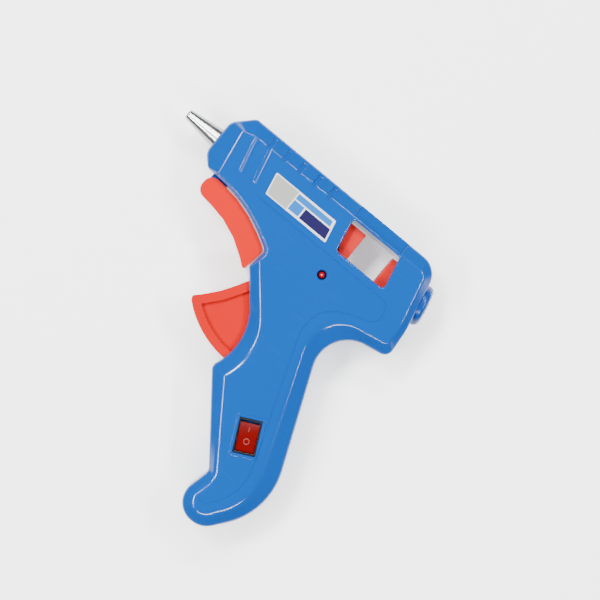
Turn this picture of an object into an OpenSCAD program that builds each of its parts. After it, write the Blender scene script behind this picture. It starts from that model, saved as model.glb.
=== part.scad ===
// Mini hot-melt glue gun, built as separate pieces that come apart on a bench.
// The gun lies on one side. The glue stick's axis is X and the nozzle points to -X.
// +Y goes from the grip to the top of the barrel, and +Z is the side with the switch and the lamp.
// The origin is the centre of the inlet bore's mouth at the back. Millimetres.

/* [Body] */
// Length of the barrel, from the nose face to the mouth of the inlet
barrel_len = 121.7; // [110:1:150]
// Height of the barrel's top edge above the stick axis
barrel_top = 17.9; // [16.5:0.1:24]
// Half of the body's thickness
half_width = 13; // [12.6:0.1:17]
// Wall of the two shells
wall = 2.2; // [1.6:0.1:2.8]
// Length of the grip's back line
grip_len = 90.2; // [75:1:110]
// Lean of the grip from square to the barrel, in degrees
grip_angle = 23; // [18:1:27]
// How far the rounded edge reaches in over the side face
edge_run = 5; // [3:0.5:6]
// How far the rounded edge reaches down the rim
edge_rise = 6; // [3:0.5:6]

/* [Glue path] */
// Diameter of the glue stick
stick_d = 7.2; // [6.8:0.1:8]
// Room around the stick in a bore
stick_room = 0.3; // [0.2:0.05:0.5]
// Outer radius of the heating chamber
chamber_r = 6.2; // [5.6:0.1:6.8]
// Length of the nozzle that shows
nozzle_len = 18.1; // [12:0.1:20]
// Radius of the nozzle where it leaves the body
nozzle_r = 5.2; // [4.8:0.1:5.6]
// Radius of the nozzle's tip
tip_r = 2.5; // [2:0.1:3]

/* [Trigger] */
// Half of the trigger's thickness
trigger_half = 7; // [5.5:0.1:7.4]
// Radius of the trigger's lower edge about its pivot
trigger_r = 45.2; // [42:0.5:47]
// Radius of the trigger's pivot pin
pivot_r = 1.5; // [1.2:0.1:2]
// Distance from the pivot to the driving pins
arm_reach = 28.66; // [27:0.1:30]

/* [Stand] */
// Half of the folding stand's thickness
stand_half = 9; // [8:0.1:10.5]
// Wall of the stand's channel
stand_wall = 2.2; // [1.6:0.1:3]
// Radius of the stand's hinge pin
hinge_r = 1.5; // [1.2:0.1:2]

/* [Switch] */
// Length of the rocker
rocker_len = 13.4; // [12:0.1:14]
// Width of the rocker
rocker_w = 8.8; // [7.5:0.1:9.4]
// Tilt of the rocker each way, in degrees
rocker_tilt = 8; // [4:1:9]

/* [Fasteners] */
// Radius of the case screws' shanks
screw_r = 1.25; // [1:0.05:1.5]
// Radius of the case screws' heads
screw_head_r = 2.3; // [2:0.1:2.6]

/* [Hidden] */
$fn = 48;

// Colours
blue = [0.16, 0.45, 0.78];
coral = [0.96, 0.40, 0.35];
red = [0.82, 0.20, 0.16];
metal = [0.80, 0.80, 0.82];
steel = [0.62, 0.63, 0.65];
brass = [0.78, 0.62, 0.30];
black = [0.08, 0.08, 0.09];
white = [0.90, 0.89, 0.86];
grey = [0.55, 0.55, 0.56];
green = [0.10, 0.38, 0.20];

// Clearances
run_gap = 0.06;     // radial, between a pin and what turns on it
slide_gap = 0.2;    // between faces that slide
part_gap = 0.4;     // between pieces that pass each other
min_corner = 0.3;   // smallest radius left on an inset corner
eps = 0.01;
far = 60;           // reach of a cut that goes right through

nose_x = -barrel_len;
inner_z = half_width - wall;
stick_r = stick_d / 2 + stick_room;

// ---- Outlines: a list of [x, y, corner radius], counter-clockwise, inset as one ----

function unit(v) = v / norm(v);
function flat(c) = [c[0], c[1]];

function corner(a, b, c, r, inset) =
    let (
        d1 = unit(b - a),
        d2 = unit(c - b),
        n1 = [-d1[1], d1[0]],
        n2 = [-d2[1], d2[0]],
        side = sign(d1[0] * d2[1] - d1[1] * d2[0]),
        half = acos(d1 * d2) / 2,
        steps = ceil(half / 6),
        v = b + inset * (n1 + n2) / (1 + n1 * n2),
        rr = max(r - side * inset, min_corner),
        centre = v - d1 * rr * tan(half) + side * rr * n1,
        start = atan2(-side * n1[1], -side * n1[0])
    )
    [for (i = [0:steps]) let (t = start + side * 2 * half * i / steps) centre + rr * [cos(t), sin(t)]];

function rounded(corners, inset = 0) =
    let (n = len(corners))
    [for (i = [0:n - 1])
        each corner(flat(corners[(i + n - 1) % n]), flat(corners[i]), flat(corners[(i + 1) % n]),
                    corners[i][2], inset)];

// A solid through rings of equal point counts, with every side face in two triangles
module loft(rings) {
    m = len(rings[0]);
    last = (len(rings) - 1) * m;
    polyhedron(
        points = [for (r = rings) each r],
        faces = concat(
            [[for (i = [0:m - 1]) i]],
            [for (k = [0:len(rings) - 2]) for (i = [0:m - 1])
                [k * m + i, (k + 1) * m + i, (k + 1) * m + (i + 1) % m]],
            [for (k = [0:len(rings) - 2]) for (i = [0:m - 1])
                [k * m + i, (k + 1) * m + (i + 1) % m, k * m + (i + 1) % m]],
            [[for (i = [m - 1:-1:0]) last + i]]
        )
    );
}

// A plate of the outline with its upper edge stepped down along an ellipse of run by rise
module domed(corners, inset, bottom, top, run, rise) {
    for (t = [9:18:81])
        translate([0, 0, bottom])
            linear_extrude(top - rise * (1 - sin(t + 9)) - bottom)
                polygon(rounded(corners, inset + run * (1 - cos(t))));
}

// A tube of round wire along a path, square to ref at each point
function wire_frame(path, i) =
    unit(path[min(i + 1, len(path) - 1)] - path[max(i - 1, 0)]);

module wire(path, r, ref, sides = 8) {
    loft_rings = [for (i = [0:len(path) - 1])
        let (t = wire_frame(path, i), n = unit(cross(ref, t)), b = cross(t, n))
        [for (k = [0:sides - 1])
            let (a = 360 * (k + 0.5) / sides)
            path[i] + r * (cos(a) * n + sin(a) * b)]];
    loft(loft_rings);
}

// Catmull-Rom curve through hand-chosen points
function spline_point(p0, p1, p2, p3, t) =
    0.5 * (2 * p1 + (p2 - p0) * t + (2 * p0 - 5 * p1 + 4 * p2 - p3) * t * t
        + (3 * p1 - p0 - 3 * p2 + p3) * t * t * t);

function spline(pts, steps) =
    let (n = len(pts))
    concat(
        [for (i = [0:n - 2]) for (k = [0:steps - 1])
            spline_point(pts[max(i - 1, 0)], pts[i], pts[i + 1], pts[min(i + 2, n - 1)], k / steps)],
        [pts[n - 1]]
    );

// Round rod along X between two stations
module rod_x(x0, x1, r) {
    translate([x0, 0, 0]) rotate([0, 90, 0]) cylinder(h = x1 - x0, r = r);
}

// Ring along X, from a profile of [radius, x]
module turned_x(profile) {
    rotate([0, 90, 0]) rotate_extrude() polygon(profile);
}

// Rod along Z at a point of the plan
module rod_z(at, z0, z1, r) {
    translate([at[0], at[1], z0]) cylinder(h = z1 - z0, r = r);
}

module box(lo, hi) {
    translate(lo) cube(hi - lo);
}

// ---- Body outline ----

rake = 12.6;                                   // lean of the rear face
rear_x = -2.8;                                 // rear face on the stick axis
grip_root = [-29.6, -34.1];
grip_dir = [sin(grip_angle), -cos(grip_angle)];
heel = grip_root + grip_len * grip_dir;        // corner behind the butt
butt_drop = 24.6;                              // from the heel corner to the butt's end
notch = [-73.3, -36.1];                        // corner under the stand's tip
recess_end = [-72, -26.1];                     // where the stand's recess meets the grip
recess_mid = [nose_x + 29.2, -14.5];
nose_low = [nose_x + 5.3, -13.6];

body_outline = [
    [nose_x, nose_low[1] + 5.3, 6],
    [nose_low[0], nose_low[1], 3],
    [recess_mid[0], recess_mid[1], 70],
    [recess_end[0], recess_end[1], 3],
    [notch[0], notch[1], 2],
    [-50.9, -62.8, 28],
    [-57.9, -81.3, 4],
    [heel[0] - 34, heel[1] - 2, 4],
    [heel[0] - 39.2, heel[1] - butt_drop, 10.4],
    [heel[0] - 20.3, heel[1] - butt_drop, 11],
    [heel[0], heel[1], 34],
    [grip_root[0], grip_root[1], 16],
    [1.7, -27.9, 4.5],
    [rear_x + 13 * tan(rake), -13, 40],
    [rear_x - barrel_top * tan(rake), barrel_top, 10],
    [nose_x + 8.7, barrel_top, 3],
    [nose_x, barrel_top - 8.7, 6]
];

// ---- Places that several pieces share ----

pivot = [-54.4, -30.3];                        // trigger pivot
hinge = [nose_x + 13.1, -19.6];                // stand hinge
knuckle_r = 5.05;
cheek_skin = 0.8;                              // left over the hinge pin's ends
lean = 6;                                      // lean of the trigger's arms at rest
drive_pin = pivot + arm_reach * [sin(lean), cos(lean)];
drive_pin_r = 1.5;
lamp = [-45.4, -18.1];
gripper_at = [-46, -8.3];
gripper_pin_r = 1;
carriage_half = 7.5;
carriage_floor = -12;
arm_t = 2.5;
arm_in = carriage_half + part_gap;
slot_half = trigger_half + part_gap;
lug_half = 5;

chamber_front = nose_x + 5.2;
chamber_back = nose_x + 47.7;
spigot_x = nose_x + 43.7;
spigot_r = 5.2;
socket_r = 4;
socket_len = 6.5;
melt_r = 1.8;
ring_t = 2;
ring_w = 3;
front_ring_x = nose_x + 6.2;
rear_ring_x = nose_x + 39.8;
pad_y = -(chamber_r + 1.2);
heater_t = 2.2;
film_t = 0.6;
clip_t = 0.7;
heater_x = nose_x + 15.7;
heater_len = 18;
heater_half = 5;

screw_points = [
    [nose_x + 23.7, barrel_top - 5.6], [-13, barrel_top - 6.4], [-66, -19.5], [-9, -21],
    [-47.5, -82], [heel[0] - 31.5, heel[1] - 14]
];
screw_seat = -8;
screw_tip = 6;
boss_r = 3;

// Direction out of the cord inlet, square to the butt's sloping rim
gland_dir = unit([butt_drop, -20.3]);
gland_along = [-gland_dir[1], gland_dir[0]];
gland_at = [heel[0] - 20.3, heel[1] - butt_drop] + 8.2 * gland_along;
gland_r = 4.6;
gland_bore_r = 3;
gland_flange_r = 6;
gland_len = 7;
clamp_at = gland_at - (gland_len + 2.6) * gland_dir;
clamp_pitch = 5.5;
clamp_points = [clamp_at + clamp_pitch * gland_along, clamp_at - clamp_pitch * gland_along];
clamp_floor = 3.2;
clamp_t = 2.6;
clamp_screw_r = 1;

switch_at = [-24.75, -95.7];
switch_turn = 26.5;
switch_half = [5.2, 8.15];
switch_floor = 1.5;
rim_w = 1.6;
rim_h = 0.3;
well_floor = 6;
rocker_axle_z = half_width - 4;
rocker_axle_r = 0.9;
rocker_gap = 0.3;
tab_t = 0.8;

collar_r = 9.8;
collar_t = 3.8;
neck_r = 6.5;

window = [
    [-47.2, -5.5, 1.8], [-19.8, -5.5, 1.8], [-23.3, 10.5, 1.2], [-50.4, 10.5, 1.2]
];
label_outline = [
    [nose_x + 33.4, -6, 0.6], [nose_x + 68.2, -6, 0.6], [nose_x + 65.8, 4.6, 0.6], [nose_x + 31.2, 4.6, 0.6]
];
label_t = 0.3;

spring_y = -56;
spring_x0 = -48.9;
spring_x1 = -32.5;
spring_r = 3.2;
spring_wire = 0.45;
spring_turns = 6;

module at_switch() {
    translate([switch_at[0], switch_at[1], 0]) rotate([0, 0, switch_turn]) children();
}

// Rod along the cord's way, between two depths inside the rim
module gland_rod(d0, d1, r) {
    translate([gland_at[0], gland_at[1], 0])
        rotate([0, 0, atan2(gland_dir[1], gland_dir[0])])
            rod_x(-d1, -d0, r);
}

// ---- Shells ----

module body_half() {
    domed(body_outline, 0, 0, half_width, edge_run, edge_rise);
}

module cavity_half() {
    domed(body_outline, wall, -1, inner_z, edge_run - wall * 0.8, edge_rise - wall * 0.8);
}

// Ribs and posts that both halves carry, before they are trimmed to the body
module shell_ribs() {
    // seats of the two heat rings
    box([front_ring_x + 0.5, -10, 0], [front_ring_x + ring_w - 0.5, 10, inner_z + eps]);
    box([rear_ring_x + 0.5, -6, 0], [rear_ring_x + ring_w - 0.5, 10, inner_z + eps]);
    // rails of the feeder carriage
    box([-48.5, carriage_floor - slide_gap - 1.2, 6.5], [-16, carriage_floor - slide_gap, inner_z + eps]);
    box([-48.5, carriage_floor + 2, arm_in], [-16, carriage_floor + 3.2, inner_z + eps]);
    // seat of the return spring
    box([-32, spring_y - 4.5, 0], [-30.2, spring_y + 4.5, inner_z + eps]);
}

// What both halves leave open
module shell_cuts() {
    rod_x(nose_x - 1, nose_x + wall + 3, nozzle_r + 0.5);
    rod_x(-12, 5, neck_r);
    rod_x(front_ring_x, front_ring_x + ring_w, chamber_r + ring_t);
    rod_x(rear_ring_x, rear_ring_x + ring_w, chamber_r + ring_t);
    translate([0, 0, -far / 2]) linear_extrude(far) polygon(rounded(window));
    intersection() {
        rod_z(pivot, -1, slot_half, trigger_r + 0.6);
        box([-100, -90, -1], [-52, -38, slot_half]);
    }
    rod_z(pivot, -1, half_width - 0.8, pivot_r);
    gland_rod(-5, 12, gland_r);
    gland_rod(2.5, 4, gland_flange_r);
}

// Lug that holds the stand's hinge pin, and the lip in front of its knuckle
module hinge_lug() {
    difference() {
        union() {
            rod_z(hinge, 0, lug_half, 4.2);
            box([hinge[0] - 4.2, hinge[1], 0], [hinge[0] + 4.2, nose_low[1] + 0.6, lug_half]);
        }
        rod_z(hinge, -1, lug_half + 1, hinge_r);
    }
    difference() {
        linear_extrude(stand_half)
            polygon([[nose_low[0] - 0.6, nose_low[1] + 0.5], [nose_low[0] + 2.8, nose_low[1] - 2.8],
                     [nose_low[0] + 5.4, nose_low[1] + 0.5]]);
        rod_z(hinge, -1, stand_half + 1, knuckle_r + part_gap);
    }
}

module plain_shell() {
    difference() {
        union() {
            difference() {
                body_half();
                cavity_half();
            }
            shell_ribs();
            for (p = screw_points) rod_z(p, 0, inner_z + eps, boss_r);
            hinge_lug();
        }
        shell_cuts();
    }
}

module front_shell() {
    color(blue) difference() {
        union() {
            plain_shell();
            // raised rim round the switch
            at_switch()
                box([-switch_half[0] - rim_w, -switch_half[1] - rim_w, half_width - 0.5],
                    [switch_half[0] + rim_w, switch_half[1] + rim_w, half_width + rim_h]);
            // posts of the lamp board
            for (p = [[3.4, 2.3], [-3.4, -2.3]]) rod_z(lamp + p, 5.8, inner_z + eps, 1.1);
        }
        for (p = screw_points) rod_z(p, -1, screw_tip + 1, screw_r);
        rod_z(lamp, inner_z - 1, half_width + 1, 2.3);
        at_switch()
            translate([-switch_half[0] - 0.05, -switch_half[1] - 0.05, inner_z - 2])
                cube([2 * switch_half[0] + 0.1, 2 * switch_half[1] + 0.1, 6]);
        translate([0, 0, half_width - label_t]) linear_extrude(1) polygon(rounded(label_outline));
        side_grooves();
    }
}

module back_shell() {
    color(blue) mirror([0, 0, 1]) difference() {
        union() {
            plain_shell();
            for (p = clamp_points) rod_z(p, -clamp_floor, inner_z + eps, 2.4);
        }
        for (p = screw_points) {
            rod_z(p, -1, half_width + 1, screw_r + 0.2);
            rod_z(p, -screw_seat, half_width + 1, screw_head_r + 0.3);
        }
        for (p = clamp_points) rod_z(p, -clamp_floor - 1, 6, clamp_screw_r);
        side_grooves();
    }
}

// Two raked grooves beside the heating chamber
module side_grooves() {
    for (g = [[25.2, 2.4, 0.5], [17.2, 1.6, 0.3]])
        translate([nose_x + g[0], 2.3, half_width - g[2]])
            rotate([0, 0, 13.5])
                translate([-g[1] / 2, -8, 0]) cube([g[1], 16, 1]);
}

// ---- Glue path ----

module nozzle() {
    x0 = nose_x - nozzle_len;
    color(metal) turned_x([
        [0.9, x0], [tip_r - 0.5, x0], [tip_r, x0 + 0.6], [nozzle_r, nose_x + 1.5],
        [nozzle_r, chamber_front], [socket_r, chamber_front],
        [socket_r, chamber_front + socket_len], [melt_r, chamber_front + socket_len], [melt_r, x0 + 6]
    ]);
}

module heating_chamber() {
    x1 = chamber_front + socket_len;
    color(metal) difference() {
        union() {
            rod_x(chamber_front, spigot_x, chamber_r);
            rod_x(spigot_x, chamber_back, spigot_r);
            box([heater_x - 1, pad_y, -heater_half - 0.5], [heater_x + heater_len + 1, 0, heater_half + 0.5]);
        }
        rod_x(chamber_front - 1, x1, socket_r);
        turned_x([[0, x1 - 1], [melt_r, x1 - 1], [melt_r, x1 + 3], [stick_r, x1 + 8],
                  [stick_r, chamber_back + 1], [0, chamber_back + 1]]);
    }
}

module ptc_heater() {
    color(grey) {
        box([heater_x, pad_y - heater_t, -heater_half], [heater_x + heater_len, pad_y, heater_half]);
        for (z = [-3, 3])
            box([heater_x + heater_len, pad_y - heater_t / 2 - 0.4, z - 1.5],
                [heater_x + heater_len + 3.5, pad_y - heater_t / 2 + 0.4, z + 1.5]);
    }
}

module heater_film() {
    color(white)
        box([heater_x - 1, pad_y - heater_t - film_t, -heater_half - 0.6],
            [heater_x + heater_len + 1, pad_y - heater_t, heater_half + 0.6]);
}

// Spring-steel band that presses the heater to the chamber
module heater_clip() {
    low = pad_y - heater_t - film_t;
    arm = chamber_r + 0.3;
    color(steel) difference() {
        box([heater_x + 2, low - clip_t, -arm - clip_t], [heater_x + 16, chamber_r + clip_t, arm + clip_t]);
        box([heater_x + 1, low, -arm], [heater_x + 17, chamber_r, arm]);
    }
}

module heat_ring(x) {
    turned_x([[chamber_r, x], [chamber_r + ring_t, x], [chamber_r + ring_t, x + ring_w], [chamber_r, x + ring_w]]);
}

module front_heat_ring() {
    color(coral) heat_ring(front_ring_x);
}

module rear_heat_ring() {
    color(coral) heat_ring(rear_ring_x);
}

sleeve_end = nose_x + 55.2;
sleeve_r = 6.4;

module stick_sleeve() {
    x0 = spigot_x + 0.2;
    color(white) turned_x([
        [spigot_r, x0], [sleeve_r, x0], [sleeve_r, x0 + 5], [sleeve_r - 0.8, x0 + 6],
        [sleeve_r - 0.8, sleeve_end], [stick_r + 0.8, sleeve_end], [stick_r, sleeve_end - 1.5],
        [stick_r, chamber_back], [spigot_r, chamber_back]
    ]);
}

module sleeve_clamp() {
    x0 = spigot_x + 1.4;
    color(steel)
        turned_x([[sleeve_r, x0], [sleeve_r + 0.8, x0], [sleeve_r + 0.8, x0 + 1.6], [sleeve_r, x0 + 1.6]]);
}

module inlet_collar() {
    color(blue) difference() {
        union() {
            translate([rear_x, 0, 0]) rotate([0, 0, rake]) turned_x([
                [0, 0], [collar_r, 0], [collar_r, collar_t - 2.2], [collar_r - 0.6, collar_t - 0.8],
                [collar_r - 2.2, collar_t], [0, collar_t]
            ]);
            rod_x(-9, rear_x, neck_r);
            rod_x(-9, -7.5, neck_r + 2);
            rod_x(-12, -9, stick_r + 1.6);
        }
        rod_x(-13, 3, stick_r);
        rod_x(0, 5, stick_r + 0.7);
    }
}

// ---- Feeder ----

module feeder_carriage() {
    color(red) difference() {
        union() {
            box([-54.9, carriage_floor, -carriage_half], [-41.2, 8.7, carriage_half]);
            box([-25.4, carriage_floor, -carriage_half], [-17.5, 8.4, carriage_half]);
            box([-54.9, carriage_floor, -carriage_half], [-17.5, -8.2, carriage_half]);
            box([-40, carriage_floor, -9.4], [-17.5, carriage_floor + 1.8, 9.4]);
        }
        rod_x(-56, -16, stick_r + 0.2);
        translate([-17.5 - 1.2, 0, 0]) rotate([0, 90, 0]) cylinder(h = 1.3, r1 = stick_r + 0.2, r2 = stick_r + 1.5);
        // grooves that the trigger's pins push in
        for (s = [-1, 1])
            translate([0, 0, s * (carriage_half + 5.2) / 2])
                box([drive_pin[0] - drive_pin_r - 0.15, drive_pin[1] - 2.5, -(carriage_half - 5.2) / 2 - 0.01],
                    [drive_pin[0] + drive_pin_r + 0.15, drive_pin[1] + 2.2, (carriage_half - 5.2) / 2 + 0.01]);
        // slot of the gripper
        box([gripper_at[0] - 3, carriage_floor - 1, -2.6], [gripper_at[0] + 3, 0, 2.6]);
        rod_z(gripper_at, -far, far, gripper_pin_r);
    }
}

module stick_gripper() {
    top = -stick_r - 0.45;
    color(steel) difference() {
        box([gripper_at[0] - 2.2, -11.6, -2.3], [gripper_at[0] + 2.2, top, 2.3]);
        rod_z(gripper_at, -5, 5, gripper_pin_r + run_gap);
        // teeth
        for (x = [-1.1, 0.4, 1.9])
            translate([gripper_at[0] + x, top, 0]) rotate([0, 0, 45]) cube([0.7, 0.7, 6], center = true);
    }
}

module gripper_pin() {
    color(steel) rod_z(gripper_at, -carriage_half, carriage_half, gripper_pin_r);
}

// ---- Trigger ----

trigger_face = [-69.6, -41.6];
trigger_tip = [-84.9, -62.6];
trigger_back = -49.6;
hub_r = 6;
hub_half = inner_z - 0.5;
trigger_plan = [
    [-59.5, -28, 3], [trigger_face[0], trigger_face[1], 10], [-75.8, -53.2, 60],
    [trigger_tip[0], trigger_tip[1], 1], [-78, -76, 1], [trigger_back, -82, 1],
    [trigger_back, -29, 3]
];

module trigger() {
    color(red) difference() {
        union() {
            intersection() {
                translate([0, 0, -trigger_half]) linear_extrude(2 * trigger_half) polygon(rounded(trigger_plan));
                rod_z(pivot, -trigger_half, trigger_half, trigger_r);
            }
            rod_z(pivot, -hub_half, hub_half, hub_r);
            for (s = [-1, 1]) trigger_arm(s);
        }
        rod_z(pivot, -far, far, pivot_r + run_gap);
        // panels between the flange and the rim
        for (s = [-1, 1])
            translate([0, 0, s * (trigger_half - 1.8 / 2 + 0.5)]) intersection() {
                linear_extrude(1.8 + 1, center = true) polygon(rounded(trigger_plan, 4.3));
                difference() {
                    rod_z(pivot, -5, 5, trigger_r - 4.2);
                    rod_z(pivot, -6, 6, hub_r + 3);
                }
            }
    }
}

module trigger_arm(s) {
    z0 = s > 0 ? arm_in : -arm_in - arm_t;
    translate([pivot[0], pivot[1], z0]) rotate([0, 0, -lean]) {
        translate([-2.8, 0, 0]) cube([5.6, arm_reach, arm_t]);
        translate([0, arm_reach, 0]) cylinder(h = arm_t, r = 2.8);
    }
    rod_z(drive_pin, s > 0 ? 5.5 : -arm_in - 0.5, s > 0 ? arm_in + 0.5 : -5.5, drive_pin_r);
}

module trigger_pin() {
    color(steel) rod_z(pivot, -half_width + 0.8, half_width - 0.8, pivot_r);
}

module return_spring() {
    steps = 14 * spring_turns;
    color(steel) wire(
        [for (i = [0:steps])
            let (a = 360 * spring_turns * i / steps)
            [spring_x0 + (spring_x1 - spring_x0) * i / steps, spring_y + spring_r * cos(a), spring_r * sin(a)]],
        spring_wire, [1, 0, 0], 6);
}

// ---- Stand ----

stand_tip = [-74.6, -39.1];
stand_plan = [
    [hinge[0] - knuckle_r, hinge[1] - knuckle_r, knuckle_r - 0.5],
    [nose_x + 30.8, -26.8, 50],
    [stand_tip[0], stand_tip[1], 0.8],
    [recess_end[0] - 0.65, recess_end[1] - 0.4, 3],
    [recess_mid[0] - 0.05, recess_mid[1] - 1.15, 58],
    [hinge[0] - knuckle_r, hinge[1] + knuckle_r, knuckle_r - 0.5]
];

module stand() {
    color(coral) difference() {
        translate([0, 0, -stand_half]) linear_extrude(2 * stand_half) polygon(rounded(stand_plan));
        for (dy = [0, 4])
            translate([0, dy, -stand_half + stand_wall])
                linear_extrude(2 * (stand_half - stand_wall)) polygon(rounded(stand_plan, stand_wall));
        box([hinge[0] - 8, hinge[1] - 8, -lug_half - 0.3], [hinge[0] + 5.6, hinge[1] + 8, lug_half + 0.3]);
        rod_z(hinge, -stand_half + cheek_skin, stand_half - cheek_skin, hinge_r + run_gap);
    }
}

module stand_pin() {
    half = stand_half - cheek_skin - slide_gap;
    color(steel) rod_z(hinge, -half, half, hinge_r);
}

// ---- Switch ----

module switch_housing() {
    color(black) at_switch() difference() {
        union() {
            box([-switch_half[0], -switch_half[1], switch_floor], [switch_half[0], switch_half[1], half_width - 0.3]);
            for (s = [-1, 1])
                translate([s * (switch_half[0] + 0.3), 0, inner_z - 0.8]) cube([0.6, 5, 1.4], center = true);
        }
        box([-rocker_w / 2 - rocker_gap, -rocker_len / 2 - 0.6, well_floor],
            [rocker_w / 2 + rocker_gap, rocker_len / 2 + 0.6, half_width + 1]);
        translate([0, 0, rocker_axle_z]) rod_x(-far, far, rocker_axle_r + run_gap);
    }
}

module rocker() {
    color(red) at_switch() translate([0, 0, rocker_axle_z]) rotate([rocker_tilt, 0, 0]) {
        rotate([90, 0, 90]) linear_extrude(rocker_w, center = true) polygon([
            [-rocker_len / 2, 3.3], [-rocker_len / 2 + 0.4, -0.5], [-2.2, -2.6], [2.2, -2.6],
            [rocker_len / 2 - 0.4, -0.5], [rocker_len / 2, 3.3], [0, 2.5]
        ]);
        rod_x(-switch_half[0] + 0.05, switch_half[0] - 0.05, rocker_axle_r);
    }
}

module switch_tabs() {
    color(brass) at_switch() for (y = [-3.5, 3.5])
        box([-2.4, y - tab_t / 2, -5], [2.4, y + tab_t / 2, switch_floor]);
}

// ---- Lamp ----

module led() {
    color(red) {
        rod_z(lamp, 7.5, 11, 1.5);
        translate([lamp[0], lamp[1], 11]) sphere(r = 1.5);
        rod_z(lamp, 6.8, 7.5, 1.85);
    }
    color(steel) for (x = [-0.8, 0.8]) rod_z(lamp + [x, 0], 5.8, 6.8, 0.25);
}

module led_board() {
    color(green) box([lamp[0] - 4.8, lamp[1] - 3.6, 4.6], [lamp[0] + 4.8, lamp[1] + 3.6, 5.8]);
}

module led_resistor() {
    color(white) translate([lamp[0], lamp[1] - 1.6, 3.8]) rod_x(-2.6, 2.6, 0.8);
}

// ---- Fasteners ----

module case_screws() {
    color(steel) for (p = screw_points) {
        rod_z(p, screw_seat, screw_tip, screw_r);
        difference() {
            rod_z(p, screw_seat - 1.7, screw_seat, screw_head_r);
            for (a = [0, 90])
                translate([p[0], p[1], screw_seat - 1.7]) rotate([0, 0, a]) cube([2.6, 0.6, 1.6], center = true);
        }
    }
}

module clamp_screws() {
    color(steel) for (p = clamp_points) {
        rod_z(p, -5, clamp_floor + clamp_t, clamp_screw_r);
        rod_z(p, clamp_floor + clamp_t, clamp_floor + clamp_t + 1.3, 1.9);
    }
}

// ---- Cord entry ----

module cord_gland() {
    color(black) difference() {
        union() {
            gland_rod(0.3, gland_len, gland_r);
            gland_rod(2.5, 4, gland_flange_r);
        }
        gland_rod(-1, gland_len + 1, gland_bore_r);
    }
}

module cord_clamp() {
    color(white) difference() {
        translate([clamp_at[0], clamp_at[1], clamp_floor])
            rotate([0, 0, atan2(gland_along[1], gland_along[0])])
                translate([-clamp_pitch - 2.4, -2.4, 0]) cube([2 * clamp_pitch + 4.8, 4.8, clamp_t]);
        for (p = clamp_points) rod_z(p, 0, far, clamp_screw_r);
    }
}

// ---- Wiring inside the body ----

lead_r = 0.9;
tab_x = heater_x + heater_len + 3.5;
tab_y = pad_y - heater_t / 2;
switch_u = [-sin(switch_turn), cos(switch_turn)];
live_end = switch_at + (3.5 + tab_t / 2) * switch_u;

live_route = [
    [tab_x, tab_y, 3], [tab_x + 2.2, tab_y - 0.9, 3], [tab_x + 5, tab_y - 2.2, 2], [-70, -13.4, -2],
    [-60, -14.6, -2.5], [-50, -16, -2.5], [-41, -20.5, -2.5], [-34.5, -29, -2.5], [-30, -40, -2.5],
    [-27.6, -51, -2.5], [-26, -62, -2.5], [-25.8, -74, -2.5],
    [live_end[0] + 5 * switch_u[0], live_end[1] + 5 * switch_u[1], -2.5], [live_end[0], live_end[1], -2.5]
];
crimp_start = [heel[0] - 24, heel[1] + 6];
crimp_end = [heel[0] - 23.5, heel[1] - 3];
neutral_route = [
    [tab_x, tab_y, -3], [tab_x + 2.2, tab_y - 0.9, -3], [tab_x + 5, tab_y - 2.2, -3.6], [-70, -13.4, -6],
    [-60, -14.6, -6.5], [-50, -16, -6.8], [-41, -20.5, -6.8], [-34.5, -29, -6.8], [-30, -40, -6.8],
    [-27.6, -51, -6.8], [-26, -62, -6.8], [-24.2, -74, -6.8], [-21.5, -86, -6.8],
    [-20, -98, -6.8], [crimp_start[0], crimp_start[1], -6.8]
];

module lead(route) {
    wire(spline(route, 3), lead_r, [0, 0, 1]);
}

module live_lead() {
    color(red) lead(live_route);
}

module neutral_lead() {
    color(grey) lead(neutral_route);
}

module crimp_cap() {
    d = unit(crimp_end - crimp_start);
    color(white) translate([crimp_start[0], crimp_start[1], -6.8])
        rotate([0, 0, atan2(d[1], d[0])]) rod_x(0, norm(crimp_end - crimp_start), 2.1);
}

module label() {
    color(white) translate([0, 0, half_width - label_t]) linear_extrude(label_t) polygon(rounded(label_outline));
}

front_shell();
back_shell();
nozzle();
heating_chamber();
ptc_heater();
heater_film();
heater_clip();
front_heat_ring();
rear_heat_ring();
stick_sleeve();
sleeve_clamp();
inlet_collar();
feeder_carriage();
stick_gripper();
gripper_pin();
trigger();
trigger_pin();
return_spring();
stand();
stand_pin();
switch_housing();
rocker();
switch_tabs();
led();
led_board();
led_resistor();
case_screws();
cord_gland();
cord_clamp();
clamp_screws();
live_lead();
neutral_lead();
crimp_cap();
label();
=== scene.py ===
"""A mini hot-melt glue gun lying on its side on a pale bench, dressed around its fixed frame.

Every length in a dataclass is in millimetres and becomes metres where a mesh is made.
"""

import logging
import math
from abc import ABC, abstractmethod
from collections.abc import Sequence
from dataclasses import dataclass
from enum import Enum

import bmesh
import bpy
import numpy as np
from mathutils import Matrix, Vector


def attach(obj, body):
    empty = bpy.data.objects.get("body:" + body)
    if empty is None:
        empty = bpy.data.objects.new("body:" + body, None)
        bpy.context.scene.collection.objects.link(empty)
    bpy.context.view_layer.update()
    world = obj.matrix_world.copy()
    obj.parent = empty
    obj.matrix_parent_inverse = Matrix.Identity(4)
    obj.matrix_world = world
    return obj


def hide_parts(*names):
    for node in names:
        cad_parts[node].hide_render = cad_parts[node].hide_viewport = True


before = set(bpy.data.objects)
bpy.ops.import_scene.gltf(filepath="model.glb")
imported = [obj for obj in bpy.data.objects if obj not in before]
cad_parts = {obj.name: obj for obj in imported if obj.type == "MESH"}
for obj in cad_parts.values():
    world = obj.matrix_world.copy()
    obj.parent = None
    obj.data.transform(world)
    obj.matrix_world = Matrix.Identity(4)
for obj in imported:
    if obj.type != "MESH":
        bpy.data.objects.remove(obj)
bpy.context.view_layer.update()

log = logging.getLogger("glue_gun")
MM = 0.001

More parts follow.
